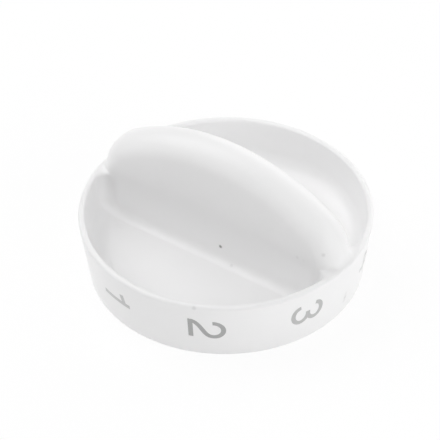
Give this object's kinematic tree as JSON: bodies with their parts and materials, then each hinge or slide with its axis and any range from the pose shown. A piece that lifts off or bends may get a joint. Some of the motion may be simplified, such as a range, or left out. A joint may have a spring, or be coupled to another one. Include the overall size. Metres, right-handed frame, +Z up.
{
  "type": "oven control knob",
  "caption": "White moulded oven control knob: a dished, flared skirt with an arched finger grip across it, pushed on to a flatted shaft and held by a leaf spring in its hub.",
  "frame": {"origin": "centre of the ring that the skirt stands on, on the turning axis", "axes": "+Z up the turning axis towards the user, X along the finger grip, with the shaft's flat on the +X side"},
  "size_m": [0.0548, 0.0548, 0.0277],
  "materials": {
    "white_plastic": "glossy moulded",
    "spring_steel": "rolled strip",
    "dial_print": "pad-printed ink"
  },
  "bodies": {
    "root": {"knob_body": "white_plastic", "shaft_spring": "spring_steel"}
  },
  "joints": []
}
